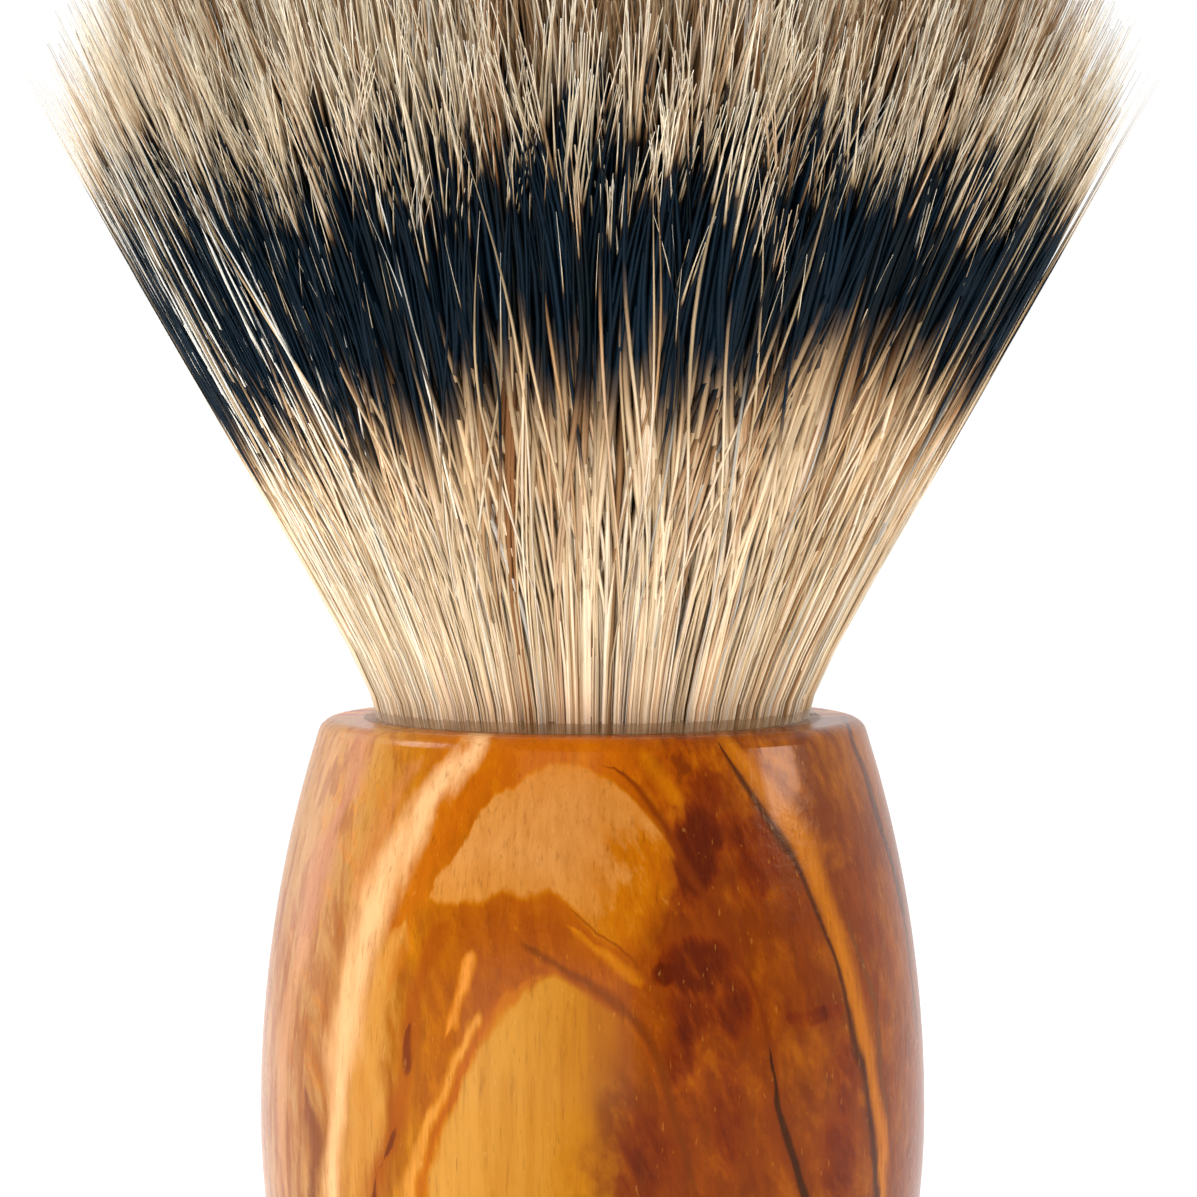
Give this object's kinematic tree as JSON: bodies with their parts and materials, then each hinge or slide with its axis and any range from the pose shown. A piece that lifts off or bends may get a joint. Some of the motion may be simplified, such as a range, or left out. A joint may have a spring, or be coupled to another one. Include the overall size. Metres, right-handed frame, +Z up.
{
  "type": "shaving brush",
  "caption": "Shaving brush with a barrel-shaped turned olive wood handle and a domed fan of banded badger hair that flexes in its socket.",
  "frame": {"origin": "centre of the handle's flat base", "axes": "+Z up along the brush's turning axis, from the base through the handle to the crown of the hair; -Y is the side seen from the front"},
  "size_m": [0.0536, 0.0536, 0.099],
  "materials": {
    "olive_wood": "satin",
    "clear_adhesive": "gloss",
    "cast_resin": "satin",
    "thread": "matte",
    "hair_cream": "satin",
    "hair_dark": "satin",
    "hair_tip": "satin"
  },
  "bodies": {
    "handle": {"handle": "olive_wood", "socket_adhesive": "clear_adhesive", "resin_plug": "cast_resin", "binding_thread": "thread", "mouth_adhesive": "clear_adhesive", "hair_root": "hair_cream"},
    "hair_middle": {"hair_shafts": "hair_cream"},
    "hair_upper": {"hair_band": "hair_dark", "hair_tips": "hair_tip"}
  },
  "joints": [
    {"name": "knot_flex_fore", "type": "hinge", "parent": "handle", "child": "hair_middle", "pos_m": [0, 0, 0.046], "axis": [1, 0, 0], "range_deg": [-30, 30], "stiffness_Nm_per_rad": 0.12},
    {"name": "knot_flex_side", "type": "hinge", "parent": "hair_middle", "child": "hair_upper", "pos_m": [0, 0, 0.049], "axis": [0, 1, 0], "range_deg": [-30, 30], "stiffness_Nm_per_rad": 0.12}
  ]
}
